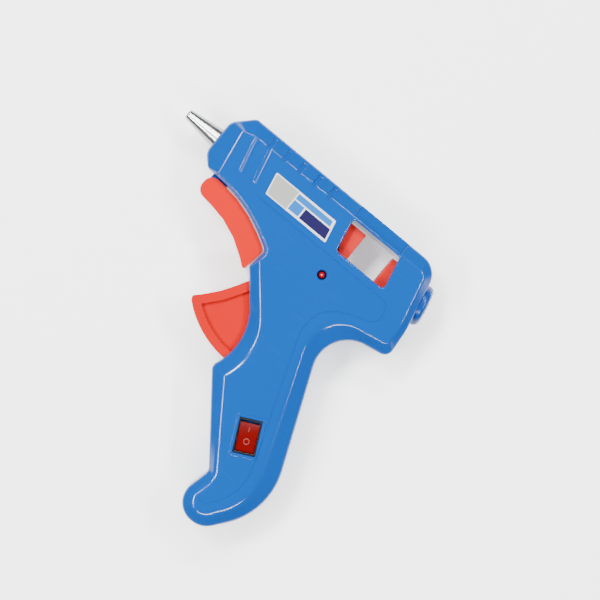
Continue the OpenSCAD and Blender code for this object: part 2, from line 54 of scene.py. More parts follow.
Corner = tuple[float, float, float]
Point2 = tuple[float, float]
Point3 = tuple[float, float, float]
Colour = tuple[float, float, float]
Socket = bpy.types.NodeSocket


# ---------------------------------------------------------------- outlines


def turn_at(a: np.ndarray, b: np.ndarray, c: np.ndarray) -> float:
    """The way's turn at b, from a to c.

    Args:
        a: The corner before.
        b: This corner.
        c: The corner after.

    Returns:
        The turn in radians, without its sign.
    """
    along = float((b - a) @ (c - b) / np.linalg.norm(b - a) / np.linalg.norm(c - b))
    return math.acos(max(-1.0, min(1.0, along)))


def corner_arc(
    a: np.ndarray, b: np.ndarray, c: np.ndarray, radius: float, inset: float, count: int
) -> list[np.ndarray]:
    """The rounded corner at b of the way from a to c.

    Args:
        a: The corner before, in mm.
        b: This corner.
        c: The corner after.
        radius: The corner's radius before it is inset.
        inset: How far the outline is moved inwards (negative moves it outwards).
        count: Chords in the arc.

    Returns:
        The arc's points in order.
    """
    d1 = (b - a) / np.linalg.norm(b - a)
    d2 = (c - b) / np.linalg.norm(c - b)
    n1, n2 = np.array([-d1[1], d1[0]]), np.array([-d2[1], d2[0]])
    side = float(np.sign(d1[0] * d2[1] - d1[1] * d2[0])) or 1.0
    half = turn_at(a, b, c) / 2
    vertex = b + inset * (n1 + n2) / (1 + float(n1 @ n2))
    r = max(radius - side * inset, 0.2)
    centre = vertex - d1 * r * math.tan(half) + side * r * n1
    start = math.atan2(-side * n1[1], -side * n1[0])
    angles = [start + side * 2 * half * i / count for i in range(count + 1)]
    return [centre + r * np.array([math.cos(t), math.sin(t)]) for t in angles]


def rounded(corners: list[Corner], inset: float = 0.0, counts: list[int] | None = None) -> list[np.ndarray]:
    """A closed outline's corner arcs, from sharp corners with radii.

    Args:
        corners: (x, y, radius) of each sharp corner, counter-clockwise, in mm.
        inset: How far the outline is moved inwards.
        counts: Chords in each corner; by default they follow its turn.

    Returns:
        Each corner's arc, one row per point.
    """
    pts = [np.array(c[:2], float) for c in corners]
    total = len(corners)
    arcs = []
    for i, corner in enumerate(corners):
        a, b, c = pts[i - 1], pts[i], pts[(i + 1) % total]
        count = counts[i] if counts else chords(a, b, c)
        arcs.append(np.array(corner_arc(a, b, c, corner[2], inset, count)))
    return arcs


def chords(a: np.ndarray, b: np.ndarray, c: np.ndarray, step: float = 4.5) -> int:
    """Counts the chords that the corner at b takes.

    Args:
        a: The corner before.
        b: This corner.
        c: The corner after.
        step: The most that a chord turns, in degrees.

    Returns:
        The number of chords.
    """
    return max(2, math.ceil(math.degrees(turn_at(a, b, c)) / step))


def closed(corners: list[Corner], inset: float = 0.0) -> np.ndarray:
    """A closed outline's points, from its sharp corners with radii.

    Args:
        corners: (x, y, radius) of each sharp corner.
        inset: How far the outline is moved inwards.

    Returns:
        One row per point.
    """
    return np.vstack(rounded(corners, inset))


@dataclass(frozen=True)
class EdgeCorner:
    """One corner of the body: at the seam, and where the flat side face ends above it."""

    seam: Corner
    crease: Corner
    rise: float
    soft: float


def matched(
    corners: list[EdgeCorner], shrink: float, spacing: float
) -> tuple[np.ndarray, np.ndarray, np.ndarray]:
    """The seam outline and the crease outline, point for point.

    Args:
        corners: The body's corners.
        shrink: How far the seam outline is moved inwards all round.
        spacing: The most that two points are apart along a straight side.

    Returns:
        The seam outline, the crease outline, and each point's rise and softness.
    """
    pts = [np.array(c.seam[:2], float) for c in corners]
    total = len(corners)
    counts = [chords(pts[i - 1], pts[i], pts[(i + 1) % total]) for i in range(total)]
    low = rounded([c.seam for c in corners], shrink, counts)
    high = rounded([c.crease for c in corners], shrink * 0.5, counts)
    made: list[list[np.ndarray]] = [[], [], []]
    for i, corner in enumerate(corners):
        after = (i + 1) % total
        values = np.array([corner.rise, corner.soft])
        next_values = np.array([corners[after].rise, corners[after].soft])
        made[0] += list(low[i])
        made[1] += list(high[i])
        made[2] += [values] * len(low[i])
        a, b, c, d = low[i][-1], low[after][0], high[i][-1], high[after][0]
        steps = max(1, math.ceil(float(np.linalg.norm(b - a)) / spacing))
        for k in range(1, steps):
            t = k / steps
            made[0].append(a + (b - a) * t)
            made[1].append(c + (d - c) * t)
            made[2].append(values + (next_values - values) * t)
    return np.array(made[0]), np.array(made[1]), np.array(made[2])


def open_path(corners: Sequence[Corner], steps: int) -> np.ndarray:
    """An open line with rounded inner corners, always of the same number of points.

    Args:
        corners: (x, y, radius) of each corner; the first and last are plain ends.
        steps: Chords in each rounded corner.

    Returns:
        The line's points.
    """
    pts = [np.array(c[:2], float) for c in corners]
    made = [pts[0]]
    for i in range(1, len(corners) - 1):
        d1 = (pts[i] - pts[i - 1]) / np.linalg.norm(pts[i] - pts[i - 1])
        d2 = (pts[i + 1] - pts[i]) / np.linalg.norm(pts[i + 1] - pts[i])
        half = turn_at(*pts[i - 1 : i + 2]) / 2
        reach = corners[i][2] * math.tan(half)
        p0, p2 = pts[i] - d1 * reach, pts[i] + d2 * reach
        for k in range(steps + 1):
            t = k / steps
            made.append((1 - t) ** 2 * p0 + 2 * t * (1 - t) * pts[i] + t * t * p2)
    made.append(pts[-1])
    return np.array(made)


# ---------------------------------------------------------------- meshes


def new_object(name: str, verts: list, faces: list) -> bpy.types.Object:
    """A linked mesh object from points in mm and faces.

    Args:
        name: The object's name.
        verts: Points in mm.
        faces: Lists of point numbers.

    Returns:
        The object, at the origin.
    """
    mesh = bpy.data.meshes.new(name)
    mesh.from_pydata([(v[0] * MM, v[1] * MM, v[2] * MM) for v in verts], [], faces)
    mesh.update()
    obj = bpy.data.objects.new(name, mesh)
    bpy.context.scene.collection.objects.link(obj)
    return obj


def loft(name: str, rings: list[np.ndarray]) -> bpy.types.Object:
    """A closed solid through rings of equal point counts, with flat caps.

    Args:
        name: The object's name.
        rings: Each ring's points in mm, as rows of x, y, z.

    Returns:
        The solid, with its normals outwards.
    """
    count = len(rings[0])
    verts = [tuple(p) for ring in rings for p in ring]
    faces: list[list[int]] = [list(range(count))[::-1]]
    for k in range(len(rings) - 1):
        for i in range(count):
            j = (i + 1) % count
            faces.append([k * count + i, k * count + j, (k + 1) * count + j, (k + 1) * count + i])
    faces.append([(len(rings) - 1) * count + i for i in range(count)])
    obj = new_object(name, verts, faces)
    tidy_mesh(obj)
    return obj


def tidy_mesh(obj: bpy.types.Object, merge: float = 0.002) -> None:
    """Merges points that lie together and turns the normals outwards.

    Args:
        obj: The piece.
        merge: How near two points merge, in mm.
    """
    bm = bmesh.new()
    bm.from_mesh(obj.data)
    bmesh.ops.remove_doubles(bm, verts=bm.verts, dist=merge * MM)
    bmesh.ops.dissolve_degenerate(bm, dist=merge * MM / 2, edges=bm.edges)
    bmesh.ops.recalc_face_normals(bm, faces=bm.faces)
    bm.to_mesh(obj.data)
    bm.free()
    obj.data.update()


def level(outline: np.ndarray, z: float) -> np.ndarray:
    """Lays an outline at one height.

    Args:
        outline: Its points, as rows of x and y.
        z: The height.

    Returns:
        Rows of x, y and z.
    """
    return np.column_stack([outline, np.full(len(outline), z)])


def prism(name: str, corners: list[Corner], stops: list[tuple[float, float]]) -> bpy.types.Object:
    """A solid on an outline whose inset changes with height.

    Args:
        name: The object's name.
        corners: The outline's sharp corners with radii.
        stops: (height, inset) of each ring, from the lowest up.

    Returns:
        The solid.
    """
    return loft(name, [level(closed(corners, inset), z) for z, inset in stops])


def turned(name: str, profile: list[Point2], place: Matrix, sides: int = 48) -> bpy.types.Object:
    """A solid turned about its own Z, moved to its place.

    Args:
        name: The object's name.
        profile: (radius, height) of each ring in mm, from the lowest up.
        place: Where it goes; its offset is in mm.
        sides: Points round each ring.

    Returns:
        The solid.
    """
    rings = []
    for radius, height in profile:
        ring = []
        for i in range(sides):
            a = 2 * math.pi * i / sides
            ring.append(place @ Vector((radius * math.cos(a), radius * math.sin(a), height)))
        rings.append(np.array(ring))
    return loft(name, rings)


def placed(at: Point3, axis: Point3 = (0, 0, 1)) -> Matrix:
    """Puts the origin at a point and turns Z to an axis.

    Args:
        at: The point in mm.
        axis: The axis.

    Returns:
        The matrix, in mm.
    """
    turn = Vector((0, 0, 1)).rotation_difference(Vector(axis)).to_matrix().to_4x4()
    return Matrix.Translation(Vector(at)) @ turn


def in_metres(place: Matrix) -> Matrix:
    """Turns a placement in mm into one in metres.

    Args:
        place: The placement.

    Returns:
        The same in metres.
    """
    made = place.copy()
    made.translation *= MM
    return made


def combine(target: bpy.types.Object, others: list[bpy.types.Object], how: str) -> None:
    """Cuts or joins solids with the exact boolean and removes the tools.

    Args:
        target: The solid that changes.
        others: The tools.
        how: DIFFERENCE or UNION.
    """
    for tool in others:
        mod = target.modifiers.new("cut", "BOOLEAN")
        mod.operation = how
        mod.solver = "EXACT"
        mod.object = tool
    graph = bpy.context.evaluated_depsgraph_get()
    graph.update()
    mesh = bpy.data.meshes.new_from_object(target.evaluated_get(graph))
    old = target.data
    target.modifiers.clear()
    target.data = mesh
    bpy.data.meshes.remove(old)
    for tool in others:
        bpy.data.objects.remove(tool)


def absorb(target: bpy.types.Object, others: list[bpy.types.Object]) -> None:
    """Adds the meshes of others to the target as they are, and removes the others.

    Args:
        target: The piece that grows.
        others: The pieces it takes in.
    """
    bm = bmesh.new()
    bm.from_mesh(target.data)
    for other in others:
        bm.from_mesh(other.data)
        bpy.data.objects.remove(other)
    bm.to_mesh(target.data)
    bm.free()


def smooth(obj: bpy.types.Object, angle: float = 32.0) -> None:
    """Shades a piece smoothly, with face-weighted normals.

    Args:
        obj: The piece.
        angle: Edges that turn more than this stay sharp, in degrees.
    """
    mesh = obj.data
    mesh.polygons.foreach_set("use_smooth", [True] * len(mesh.polygons))
    mesh.set_sharp_from_angle(angle=math.radians(angle))
    mod = obj.modifiers.new("weighted", "WEIGHTED_NORMAL")
    mod.keep_sharp = True
    mod.weight = 60


def soften_cad(obj: bpy.types.Object, width: float, segments: int = 2, angle: float = 34.0) -> None:
    """Rounds a carried-over piece's sharp edges with modifiers only.

    Args:
        obj: The piece.
        width: The rounding in mm.
        segments: Facets across each rounded edge.
        angle: Edges that turn less than this stay as they are, in degrees.
    """
    weld = obj.modifiers.new("weld", "WELD")
    weld.merge_threshold = 0.002 * MM
    if width > 0:
        bevel = obj.modifiers.new("soft_edges", "BEVEL")
        bevel.width = width * MM
        bevel.segments = segments
        bevel.limit_method = "ANGLE"
        bevel.angle_limit = math.radians(angle)
        bevel.use_clamp_overlap = True
        bevel.miter_outer = "MITER_ARC"
    weighted = obj.modifiers.new("weighted", "WEIGHTED_NORMAL")
    weighted.keep_sharp = False
    weighted.weight = 80


# ---------------------------------------------------------------- finishes


class Effect(Enum):
    """Shared shader effects, each one node group."""

    MOULDED = "moulded_surface"
    BRUSHED = "brushed_lines"


@dataclass(frozen=True)
class Wiring:
    """Adds nodes to one shader tree and joins them."""

    tree: bpy.types.NodeTree

    def add(
        self, kind: str, values: dict | None = None, links: dict | None = None, **settings: object
    ) -> bpy.types.Node:
        """Adds a node.

        Args:
            kind: The node's type, less its ShaderNode prefix.
            values: Constant inputs by name or number.
            links: Output sockets by the name or number of the input they feed.
            settings: The node's own properties.

        Returns:
            The node.
        """
        node = self.tree.nodes.new(f"ShaderNode{kind}")
        for key, value in settings.items():
            setattr(node, key, value)
        for key, value in (values or {}).items():
            node.inputs[key].default_value = value
        for key, source in (links or {}).items():
            self.tree.links.new(source, node.inputs[key])
        return node

    def noise(self, place: Socket, detail: float, scale: float | Socket) -> Socket:
        """Adds a noise texture.

        Args:
            place: Where it is looked up.
            detail: Its detail.
            scale: Its scale, constant or linked.

        Returns:
            The noise.
        """
        fixed = isinstance(scale, float)
        values = {"Detail": detail, **({"Scale": scale} if fixed else {})}
        links = {"Vector": place, **({} if fixed else {"Scale": scale})}
        return self.add("TexNoise", values, links).outputs["Fac"]

    def remap(self, value: Socket, low: float, high: float, floor: float = 0.0) -> Socket:
        """Spreads a value from low to high over floor to 1.

        Args:
            value: The value.
            low: What becomes floor.
            high: What becomes 1.
            floor: The least result.

        Returns:
            The result.
        """
        limits = {"From Min": low, "From Max": high, "To Min": floor}
        return self.add("MapRange", limits, {"Value": value}).outputs["Result"]

    def calc(self, operation: str, *terms: float | Socket, clamp: bool = False) -> Socket:
        """Adds a sum.

        Args:
            operation: The sum's kind.
            terms: Its terms, constant or linked.
            clamp: Whether the result stays within 0 and 1.

        Returns:
            The result.
        """
        node = self.add("Math", operation=operation, use_clamp=clamp)
        for place, term in zip(node.inputs, terms):
            if isinstance(term, float):
                place.default_value = term
            else:
                self.tree.links.new(term, place)
        return node.outputs["Value"]

    def mix(self, a: Socket, b: Socket, factor: Socket, blend: str = "MIX") -> Socket:
        """Mixes two colours.

        Args:
            a: The first colour.
            b: The second colour.
            factor: How much of the second.
            blend: How they mix.

        Returns:
            The colour.
        """
        links = {"Factor": factor, "A": a, "B": b}
        return self.add("Mix", links=links, data_type="RGBA", blend_type=blend).outputs["Result"]


class EffectLibrary:
    """Builds each shared effect once and hands it out."""

    _made: dict[Effect, bpy.types.NodeTree] = {}

    @classmethod
    def get(cls, effect: Effect) -> bpy.types.NodeTree:
        """Finds an effect's node group, built on first use.

        Args:
            effect: The effect.

        Returns:
            Its node group.
        """
        if effect not in cls._made:
            cls._made[effect] = {Effect.MOULDED: cls._moulded, Effect.BRUSHED: cls._brushed}[effect]()
        return cls._made[effect]

    @staticmethod
    def _group(effect: Effect, inputs: dict[str, float | Colour]) -> tuple[Wiring, bpy.types.NodeOutputs]:
        """Starts a group with its sockets.

        Args:
            effect: The effect it is for.
            inputs: Each input's name and default.

        Returns:
            The group's wiring, and the sockets that give its inputs.
        """
        tree = bpy.data.node_groups.new(effect.value, "ShaderNodeTree")
        for name, default in inputs.items():
            value, kind = (default, "Float") if isinstance(default, float) else ((*default, 1.0), "Color")
            made = tree.interface.new_socket(name=name, in_out="INPUT", socket_type=f"NodeSocket{kind}")
            made.default_value = value
        for name, kind in (("Color", "Color"), ("Roughness", "Float"), ("Height", "Float")):
            tree.interface.new_socket(name=name, in_out="OUTPUT", socket_type=f"NodeSocket{kind}")
        return Wiring(tree), tree.nodes.new("NodeGroupInput").outputs

    @staticmethod
    def _give(wiring: Wiring, colour: Socket, roughness: Socket, height: Socket) -> bpy.types.NodeTree:
        """Joins a group's results to its outputs.

        Args:
            wiring: The group's wiring.
            colour: Its colour.
            roughness: Its roughness.
            height: Its height, for the bump.

        Returns:
            The group.
        """
        sink = wiring.tree.nodes.new("NodeGroupOutput")
        for name, source in (("Color", colour), ("Roughness", roughness), ("Height", height)):
            wiring.tree.links.new(source, sink.inputs[name])
        return wiring.tree

    @classmethod
    def _moulded(cls) -> bpy.types.NodeTree:
        """Builds a moulded skin: mottled colour, uneven gloss, fine grain and hairline scuffs.

        Returns:
            The group.
        """
        inputs = {
            "Color": (0.5, 0.5, 0.5), "Worn Color": (0.7, 0.7, 0.7), "Mottle": 0.05, "Roughness": 0.3,
            "Unevenness": 0.08, "Grain Scale": 1500.0, "Scuffs": 0.1,
        }
        wiring, given = cls._group(Effect.MOULDED, inputs)
        place = wiring.add("TexCoord").outputs["Object"]
        broad = wiring.noise(place, 4.0, 45.0)
        grain = wiring.noise(place, 3.0, given["Grain Scale"])
        stretch = {"Rotation": (0.3, 0.2, 0.6), "Scale": (18.0, 420.0, 420.0)}
        drawn = wiring.add("Mapping", stretch, {"Vector": place}).outputs["Vector"]
        scuff = wiring.remap(wiring.noise(drawn, 5.0, 4.0), 0.66, 0.74)
        rubbed = wiring.calc("MULTIPLY", scuff, given["Scuffs"])
        shade = wiring.remap(broad, 0.3, 0.7, 0.75)
        mottled = wiring.mix(given["Color"], shade, given["Mottle"], "MULTIPLY")
        colour = wiring.mix(mottled, given["Worn Color"], rubbed)
        centred = wiring.calc("SUBTRACT", broad, 0.5)
        uneven = wiring.calc("MULTIPLY_ADD", centred, given["Unevenness"], given["Roughness"])
        rough = wiring.calc("MULTIPLY_ADD", rubbed, 0.3, uneven, clamp=True)
        return cls._give(wiring, colour, rough, wiring.calc("SUBTRACT", grain, rubbed))

    @classmethod
    def _brushed(cls) -> bpy.types.NodeTree:
        """Builds lines left by turning or drawing, square to X, with soiled and bright bands.

        Returns:
            The group.
        """
        inputs = {
            "Color": (0.7, 0.7, 0.7), "Stain Color": (0.4, 0.38, 0.35), "Stain": 0.2, "Roughness": 0.25,
            "Line Scale": 3000.0,
        }
        wiring, given = cls._group(Effect.BRUSHED, inputs)
        place = wiring.add("TexCoord").outputs["Object"]
        squash = wiring.add("VectorMath", {1: (1.0, 0.04, 0.04)}, {0: place}, operation="MULTIPLY")
        lines = wiring.noise(squash.outputs["Vector"], 4.0, given["Line Scale"])
        blotch = wiring.remap(wiring.noise(place, 5.0, 260.0), 0.45, 0.75)
        amount = wiring.calc("MULTIPLY", blotch, given["Stain"])
        colour = wiring.mix(given["Color"], given["Stain Color"], amount)
        rough = wiring.calc("MULTIPLY_ADD", lines, 0.16, given["Roughness"])
        return cls._give(wiring, colour, rough, lines)


@dataclass(frozen=True)
class Finish(ABC):
    """What every finish has: a name and a main colour."""

    name: str
    colour: Colour

    @abstractmethod
    def _make(self) -> bpy.types.Material:
        """Makes the material.

        Returns:
            The material.
        """

    def build(self) -> bpy.types.Material:
        """Finds the material, made once.

        Returns:
            The material.
        """
        return bpy.data.materials.get(self.name) or self._make()

    def _surface(
        self, effect: Effect, values: dict[str, float | Colour], bump: float, depth: float
    ) -> tuple[bpy.types.Material, bpy.types.NodeInputs]:
        """Starts a material that takes its colour, gloss and height from a shared effect.

        Args:
            effect: The effect.
            values: The effect's inputs other than the main colour.
            bump: The bump's strength.
            depth: The bump's depth in metres.

        Returns:
            The material, and its shader's inputs.
        """
        material = bpy.data.materials.new(self.name)
        material.use_nodes = True
        material.diffuse_color = (*self.colour, 1.0)
        wiring = Wiring(material.node_tree)
        group = wiring.add("Group", node_tree=EffectLibrary.get(effect))
        for key, value in {"Color": self.colour, **values}.items():
            group.inputs[key].default_value = value if isinstance(value, float) else (*value, 1.0)
        rise = wiring.add("Bump", {"Strength": bump, "Distance": depth}, {"Height": group.outputs["Height"]})
        inputs = material.node_tree.nodes["Principled BSDF"].inputs
        wiring.tree.links.new(group.outputs["Color"], inputs["Base Color"])
        wiring.tree.links.new(group.outputs["Roughness"], inputs["Roughness"])
        wiring.tree.links.new(rise.outputs["Normal"], inputs["Normal"])
        return material, inputs


@dataclass(frozen=True)
class MouldedFinish(Finish):
    """Plastic, rubber, ceramic or film, in one colour with its own grain and gloss."""

    worn: Colour = (0.8, 0.8, 0.8)
    roughness: float = 0.3
    unevenness: float = 0.05
    mottle: float = 0.1
    scuffs: float = 0.05
    grain_mm: float = 0.8
    bump: float = 0.02
    coat: float = 0.0
    coat_roughness: float = 0.05
    specular: float = 0.5
    subsurface: float = 0.0
    glow: float = 0.0

    def _make(self) -> bpy.types.Material:
        """Makes the material.

        Returns:
            The material.
        """
        values = {
            "Worn Color": self.worn, "Mottle": self.mottle, "Roughness": self.roughness,
            "Unevenness": self.unevenness, "Grain Scale": 1.0 / (self.grain_mm * MM), "Scuffs": self.scuffs,
        }
        material, inputs = self._surface(Effect.MOULDED, values, self.bump, 0.00012)
        inputs["Specular IOR Level"].default_value = self.specular
        inputs["Coat Weight"].default_value = self.coat
        inputs["Coat Roughness"].default_value = self.coat_roughness
        if self.subsurface:
            inputs["Subsurface Weight"].default_value = self.subsurface
            inputs["Subsurface Scale"].default_value = 0.002
        if self.glow:
            inputs["Emission Color"].default_value = (*self.colour, 1.0)
            inputs["Emission Strength"].default_value = self.glow
        return material


@dataclass(frozen=True)
class MetalFinish(Finish):
    """Turned, drawn, cast or plated metal."""

    stain: Colour
    stained: float = 0.2
    roughness: float = 0.2
    line_mm: float = 0.25
    bump: float = 0.08

    def _make(self) -> bpy.types.Material:
        """Makes the material.

        Returns:
            The material.
        """
        values = {
            "Stain Color": self.stain, "Stain": self.stained, "Roughness": self.roughness,
            "Line Scale": 1.0 / (self.line_mm * MM),
        }
        material, inputs = self._surface(Effect.BRUSHED, values, self.bump, 0.00008)
        inputs["Metallic"].default_value = 1.0
        return material


SHELL_BLUE = MouldedFinish(
    "shell_blue_gloss", (0.0008, 0.043, 0.215), (0.05, 0.2, 0.5),
    roughness=0.13, unevenness=0.04,
)
COLLAR_BLUE = MouldedFinish(
    "collar_blue_gloss", (0.0008, 0.030, 0.17), (0.05, 0.2, 0.5),
    roughness=0.22, unevenness=0.06, mottle=0.12, scuffs=0.06, bump=0.03, specular=0.25,
)
STAND_CORAL = MouldedFinish("stand_coral_gloss", (0.42, 0.0055, 0.003), (0.6, 0.08, 0.06), roughness=0.14)
TRIGGER_CORAL = MouldedFinish("trigger_coral_gloss", (0.38, 0.003, 0.002), (0.6, 0.08, 0.06), roughness=0.16)
FEEDER_RED = MouldedFinish(
    "feeder_red_satin", (0.36, 0.004, 0.002), (0.5, 0.1, 0.06),
    roughness=0.34, unevenness=0.08, mottle=0.15, scuffs=0.1, grain_mm=0.7, bump=0.05, specular=0.4,
)
ROCKER_RED = MouldedFinish(
    "rocker_red_gloss", (0.095, 0.0006, 0.0008), (0.2, 0.02, 0.02),
    roughness=0.12, scuffs=0.06, grain_mm=0.9,
)
ROCKER_MARK = MouldedFinish(
    "rocker_mark_ink", (0.16, 0.03, 0.03), (0.12, 0.01, 0.01),
    roughness=0.45, mottle=0.2, scuffs=0.3, grain_mm=0.3, specular=0.3,
)
SWITCH_BLACK = MouldedFinish(
    "switch_black_gloss", (0.006, 0.006, 0.008), (0.1, 0.1, 0.1),
    unevenness=0.06, mottle=0.2, scuffs=0.1, grain_mm=0.6, bump=0.04,
)
LAMP_RED = MouldedFinish(
    "lamp_red_clear", (0.20, 0.002, 0.002), (0.4, 0.1, 0.1),
    roughness=0.08, unevenness=0.02, mottle=0.05, scuffs=0.02, grain_mm=0.9, bump=0.01, coat=0.3,
    coat_roughness=0.03, specular=0.4, subsurface=0.2,
)
BOARD_GREEN = MouldedFinish(
    "board_green_lacquer", (0.01, 0.10, 0.035), (0.25, 0.4, 0.2),
    unevenness=0.1, mottle=0.3, scuffs=0.2, grain_mm=0.5, bump=0.1,
)
RESISTOR_TAN = MouldedFinish(
    "resistor_tan_lacquer", (0.50, 0.36, 0.18), (0.3, 0.1, 0.05),
    roughness=0.35, unevenness=0.1, mottle=0.3, scuffs=0.4, grain_mm=0.4, bump=0.08,
)
HEATER_CERAMIC = MouldedFinish(
    "heater_ceramic_grey", (0.26, 0.26, 0.27), (0.6, 0.6, 0.6),
    roughness=0.6, unevenness=0.15, mottle=0.4, scuffs=0.3, grain_mm=0.25, bump=0.25,
)
FILM_AMBER = MouldedFinish(
    "film_amber", (0.42, 0.18, 0.025), (0.6, 0.35, 0.1),
    roughness=0.2, unevenness=0.1, mottle=0.3, scuffs=0.2, grain_mm=0.9, bump=0.05, coat=0.3,
)
HEAT_RUBBER = MouldedFinish(
    "heat_rubber_red", (0.45, 0.055, 0.04), (0.6, 0.3, 0.25),
    roughness=0.6, unevenness=0.1, mottle=0.25, scuffs=0.2, grain_mm=0.3, bump=0.2,
)
SILICONE = MouldedFinish(
    "silicone_milky", (0.62, 0.60, 0.55), (0.8, 0.8, 0.78),
    roughness=0.42, unevenness=0.1, mottle=0.2, scuffs=0.1, grain_mm=0.5, bump=0.1, subsurface=0.4,
)
GLAND_RUBBER = MouldedFinish(
    "gland_rubber_black", (0.012, 0.012, 0.014), (0.09, 0.09, 0.09),
    roughness=0.55, unevenness=0.12, mottle=0.3, scuffs=0.2, grain_mm=0.35, bump=0.2,
)
CLAMP_WHITE = MouldedFinish(
    "clamp_natural_nylon", (0.68, 0.66, 0.58), (0.8, 0.8, 0.75),
    roughness=0.45, unevenness=0.1, mottle=0.2, scuffs=0.1, grain_mm=0.5, bump=0.1, subsurface=0.3,
)
LEAD_LIVE = MouldedFinish(
    "lead_red_sleeve", (0.42, 0.02, 0.016), (0.6, 0.3, 0.3),
    roughness=0.4, unevenness=0.08, mottle=0.2, scuffs=0.15, grain_mm=0.4, bump=0.08,
)
LEAD_NEUTRAL = MouldedFinish(
    "lead_grey_sleeve", (0.07, 0.075, 0.085), (0.2, 0.2, 0.2),
    roughness=0.4, unevenness=0.08, mottle=0.2, scuffs=0.15, grain_mm=0.4, bump=0.08,
)
LABEL_RIM = MouldedFinish(
    "label_rim_white", (0.50, 0.52, 0.55), (0.45, 0.45, 0.45),
    unevenness=0.06, mottle=0.08, scuffs=0.1, grain_mm=0.5, specular=0.3,
)
LABEL_FIELD = MouldedFinish(
    "label_field_silver", (0.25, 0.25, 0.225), (0.35, 0.35, 0.33),
    roughness=0.32, unevenness=0.1, mottle=0.2, scuffs=0.15, grain_mm=0.35, bump=0.03, specular=0.3,
)
LABEL_CYAN = MouldedFinish(
    "label_cyan_ink", (0.002, 0.10, 0.34), (0.1, 0.2, 0.4),
    unevenness=0.06, scuffs=0.1, grain_mm=0.5, specular=0.3,
)
LABEL_NAVY = MouldedFinish(
    "label_navy_ink", (0.006, 0.003, 0.042), (0.05, 0.05, 0.12),
    unevenness=0.06, scuffs=0.1, grain_mm=0.5, specular=0.3,
)
NOZZLE_METAL = MetalFinish(
    "nozzle_polished", (0.36, 0.36, 0.37), (0.20, 0.19, 0.18),
    roughness=0.14, line_mm=0.22, bump=0.06,
)
CHAMBER_METAL = MetalFinish(
    "chamber_cast", (0.62, 0.62, 0.63), (0.40, 0.38, 0.36),
    stained=0.4, roughness=0.38, line_mm=0.5, bump=0.3,
)
SPRING_STEEL = MetalFinish(
    "spring_steel_bright", (0.50, 0.51, 0.53), (0.30, 0.27, 0.25),
    stained=0.3, roughness=0.22, line_mm=0.2, bump=0.1,
)
PIN_STEEL = MetalFinish(
    "pin_steel_ground", (0.56, 0.57, 0.59), (0.32, 0.30, 0.28),
    roughness=0.16, line_mm=0.12,
)
SCREW_STEEL = MetalFinish(
    "screw_zinc", (0.50, 0.52, 0.55), (0.30, 0.28, 0.24),
    stained=0.45, roughness=0.26, line_mm=0.15, bump=0.12,
)
TAB_BRASS = MetalFinish(
    "tab_brass_bright", (0.62, 0.45, 0.17), (0.35, 0.22, 0.08),
    stained=0.35, roughness=0.24, line_mm=0.2,
)


# ---------------------------------------------------------------- the gun's shared sizes


